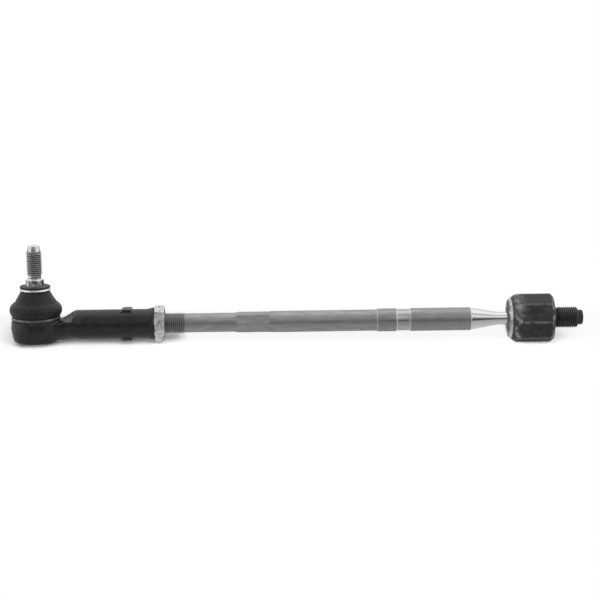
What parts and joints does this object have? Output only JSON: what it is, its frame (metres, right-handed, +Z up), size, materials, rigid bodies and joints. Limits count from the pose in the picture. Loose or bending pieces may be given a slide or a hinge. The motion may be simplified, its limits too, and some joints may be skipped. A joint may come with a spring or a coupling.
{
  "type": "steering tie rod",
  "caption": "Steering tie rod: forged rod between an outer ball joint with a rubber boot and threaded sleeve and an inner axial ball joint with a rack stud.",
  "frame": {"origin": "middle of the bounding box on the floor that the tie rod lies on", "axes": "+X along the rod from the outer joint to the inner joint, +Z up, roughly along the ball stud, +Y to the side"},
  "size_m": [0.4351, 0.0394, 0.0767],
  "materials": {
    "coated_forging": "satin black dip-coated steel forging",
    "zinc_plate": "dull zinc-plated pressed and turned steel",
    "bright_stud": "turned and rolled steel, bright and lightly oiled",
    "boot_rubber": "matt moulded rubber",
    "bearing_plastic": "smooth moulded acetal",
    "rod_steel": "grey blasted forging with machined bands and a polished taper",
    "phosphated_forging": "black phosphated forging with scuffed edges and a machined lip"
  },
  "bodies": {
    "rod": {"rod": "rod_steel"},
    "outer_end": {"outer_housing": "coated_forging", "closing_plate": "zinc_plate", "boot_bottom_ring": "zinc_plate"},
    "lock_nut": {"lock_nut": "zinc_plate"},
    "outer_swivel": {"outer_ball_seat": "bearing_plastic", "dust_boot": "boot_rubber"},
    "boot_top": {"boot_top_ring": "zinc_plate"},
    "stud": {"ball_stud": "bright_stud"},
    "inner_seat": {"inner_ball_seat": "bearing_plastic"},
    "inner_end": {"inner_housing": "phosphated_forging"}
  },
  "joints": [
    {"name": "sleeve_thread", "type": "slide", "parent": "rod", "child": "outer_end", "axis": [1, 0, 0.0087], "range_m": [-0.015, 0]},
    {"name": "nut_thread", "type": "slide", "parent": "rod", "child": "lock_nut", "axis": [1, 0, 0.0087], "range_m": [0, 0.014]},
    {"name": "stud_azimuth", "type": "hinge", "parent": "outer_end", "child": "outer_swivel", "pos_m": [-0.19773, 0, 0.01557], "axis": [-0.0087, 0, 1], "continuous": true},
    {"name": "stud_tilt", "type": "hinge", "parent": "outer_swivel", "child": "boot_top", "pos_m": [-0.19773, 0, 0.01557], "axis": [0, 1, 0], "range_deg": [-25, 25], "deforming": ["dust_boot"]},
    {"name": "stud_spin", "type": "hinge", "parent": "boot_top", "child": "stud", "pos_m": [-0.19773, 0, 0.01557], "axis": [-0.0087, 0, 1], "continuous": true},
    {"name": "inner_tilt", "type": "hinge", "parent": "rod", "child": "inner_seat", "pos_m": [0.17325, 0, 0.01881], "axis": [0, 1, 0], "range_deg": [-22, 22]},
    {"name": "inner_spin", "type": "hinge", "parent": "inner_seat", "child": "inner_end", "pos_m": [0.17325, 0, 0.01881], "axis": [1, 0, 0.0087], "continuous": true}
  ]
}
